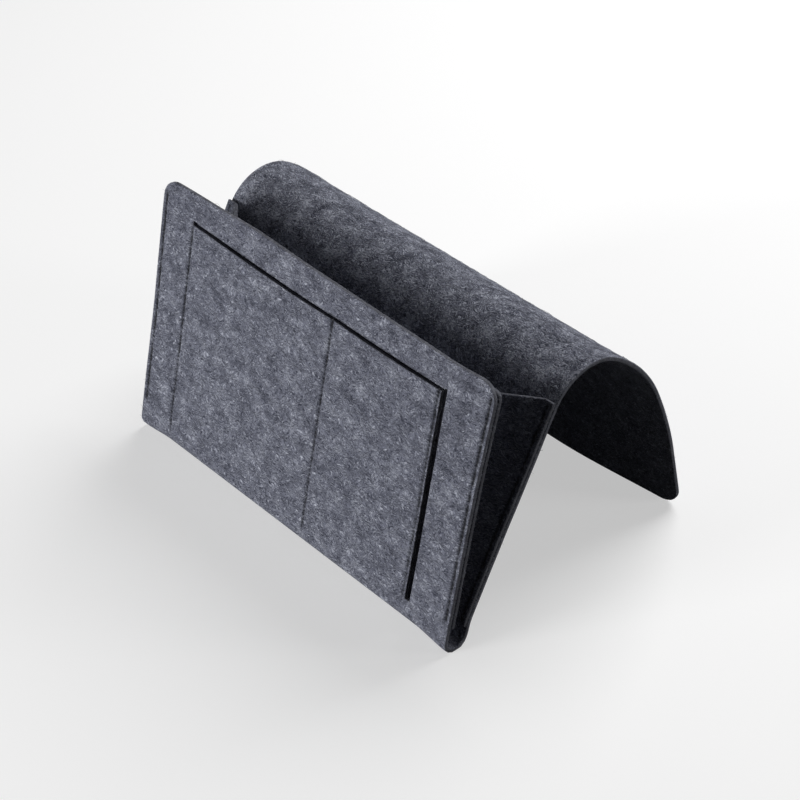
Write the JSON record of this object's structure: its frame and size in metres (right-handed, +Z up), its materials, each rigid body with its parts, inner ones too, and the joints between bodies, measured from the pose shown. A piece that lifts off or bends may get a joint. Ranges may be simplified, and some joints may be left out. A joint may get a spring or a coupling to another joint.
{
  "type": "bedside storage bag",
  "caption": "Felt storage bag with an arched flap to tuck under a mattress, pockets behind a slit in its front wall, a cable slot and folding end gussets.",
  "frame": {"origin": "centre of the standing bag's box on the floor it stands on", "axes": "+X along the bag towards the end with the cable slot, +Y from the front wall to the flap, +Z up"},
  "size_m": [0.32, 0.2134, 0.1881],
  "materials": {
    "main_felt": "matt needled felt, dark grey marl",
    "backing_felt": "matt needled felt, dark grey marl",
    "gusset_felt": "matt needled felt, dark grey marl"
  },
  "bodies": {
    "back_wall": {"back_wall": "main_felt", "left_gusset_rear_flange": "gusset_felt", "right_gusset_rear_flange": "gusset_felt"},
    "front_wall": {"front_wall": "main_felt", "pocket_backing": "backing_felt", "left_gusset_front_flange": "gusset_felt", "right_gusset_front_flange": "gusset_felt"},
    "arch": {"arch": "main_felt"},
    "flap": {"flap": "main_felt"},
    "left_gusset_front": {"left_gusset_front_panel": "gusset_felt"},
    "left_gusset_rear": {"left_gusset_rear_panel": "gusset_felt"},
    "right_gusset_front": {"right_gusset_front_panel": "gusset_felt"},
    "right_gusset_rear": {"right_gusset_rear_panel": "gusset_felt"}
  },
  "joints": [
    {"name": "mouth_opening", "type": "hinge", "parent": "back_wall", "child": "front_wall", "pos_m": [0, -0.10351, -0.00441], "axis": [1, 0, 0], "range_deg": [-11.5, 6]},
    {"name": "left_front_fold", "type": "hinge", "parent": "front_wall", "child": "left_gusset_front", "pos_m": [-0.153, -0.10351, -0.00441], "axis": [0, 0.2354, 0.9719], "range_deg": [-27.6, 14.4]},
    {"name": "left_rear_fold", "type": "hinge", "parent": "back_wall", "child": "left_gusset_rear", "pos_m": [-0.153, -0.10351, -0.00441], "axis": [0, 0.4957, 0.8685], "range_deg": [-14.4, 27.6]},
    {"name": "right_front_fold", "type": "hinge", "parent": "front_wall", "child": "right_gusset_front", "pos_m": [0.153, -0.10351, -0.00441], "axis": [0, 0.2354, 0.9719], "range_deg": [-14.4, 27.6]},
    {"name": "right_rear_fold", "type": "hinge", "parent": "back_wall", "child": "right_gusset_rear", "pos_m": [0.153, -0.10351, -0.00441], "axis": [0, 0.4957, 0.8685], "range_deg": [-27.6, 14.4]},
    {"name": "crest_bend", "type": "hinge", "parent": "back_wall", "child": "arch", "pos_m": [0, 0.00867, 0.16227], "axis": [1, 0, 0], "range_deg": [-18, 90]},
    {"name": "shoulder_bend", "type": "hinge", "parent": "arch", "child": "flap", "pos_m": [0, 0.06201, 0.13581], "axis": [1, 0, 0], "range_deg": [-7.2, 36]}
  ],
  "couplings": [
    {"joint": "left_front_fold", "follows": "mouth_opening", "ratio": 2.4},
    {"joint": "left_rear_fold", "follows": "mouth_opening", "ratio": -2.4},
    {"joint": "right_front_fold", "follows": "mouth_opening", "ratio": -2.4},
    {"joint": "right_rear_fold", "follows": "mouth_opening", "ratio": 2.4},
    {"joint": "shoulder_bend", "follows": "crest_bend", "ratio": 0.4}
  ]
}
